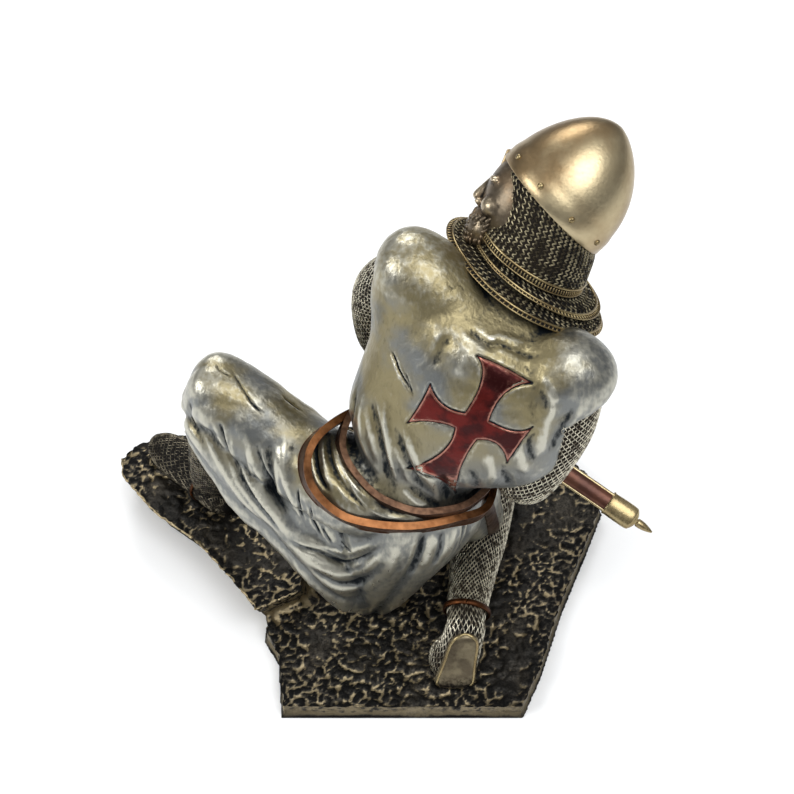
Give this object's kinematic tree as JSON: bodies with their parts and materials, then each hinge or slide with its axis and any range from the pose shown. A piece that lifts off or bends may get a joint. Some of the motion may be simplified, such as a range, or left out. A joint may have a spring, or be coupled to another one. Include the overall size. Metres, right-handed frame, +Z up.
{
  "type": "medieval knight statue",
  "caption": "Kneeling crusader knight holding a sheathed sword, on a raised piece of rock, a cast resin statuette with a bronze finish.",
  "frame": {"origin": "centre of the bounding box at the underside of the rock base", "axes": "+Z up; the knight's front faces -Y and his left side is at +X"},
  "size_m": [0.155, 0.106, 0.1566],
  "materials": {
    "resin_pewter": "cold-cast bronze resin: pewter-silver and gold patina over dark washes, polished on the helmet, copper straps, dark mail with gilt edges, dark red enamel cross",
    "resin_gilt": "reddish-brown scabbard with gilt chape, edge and hilt",
    "resin_rock": "black-brown rough rock, dry-brushed gold on the high edges"
  },
  "bodies": {
    "root": {"rock_base": "resin_rock", "knight": "resin_pewter", "sheathed_sword": "resin_gilt"}
  },
  "joints": []
}
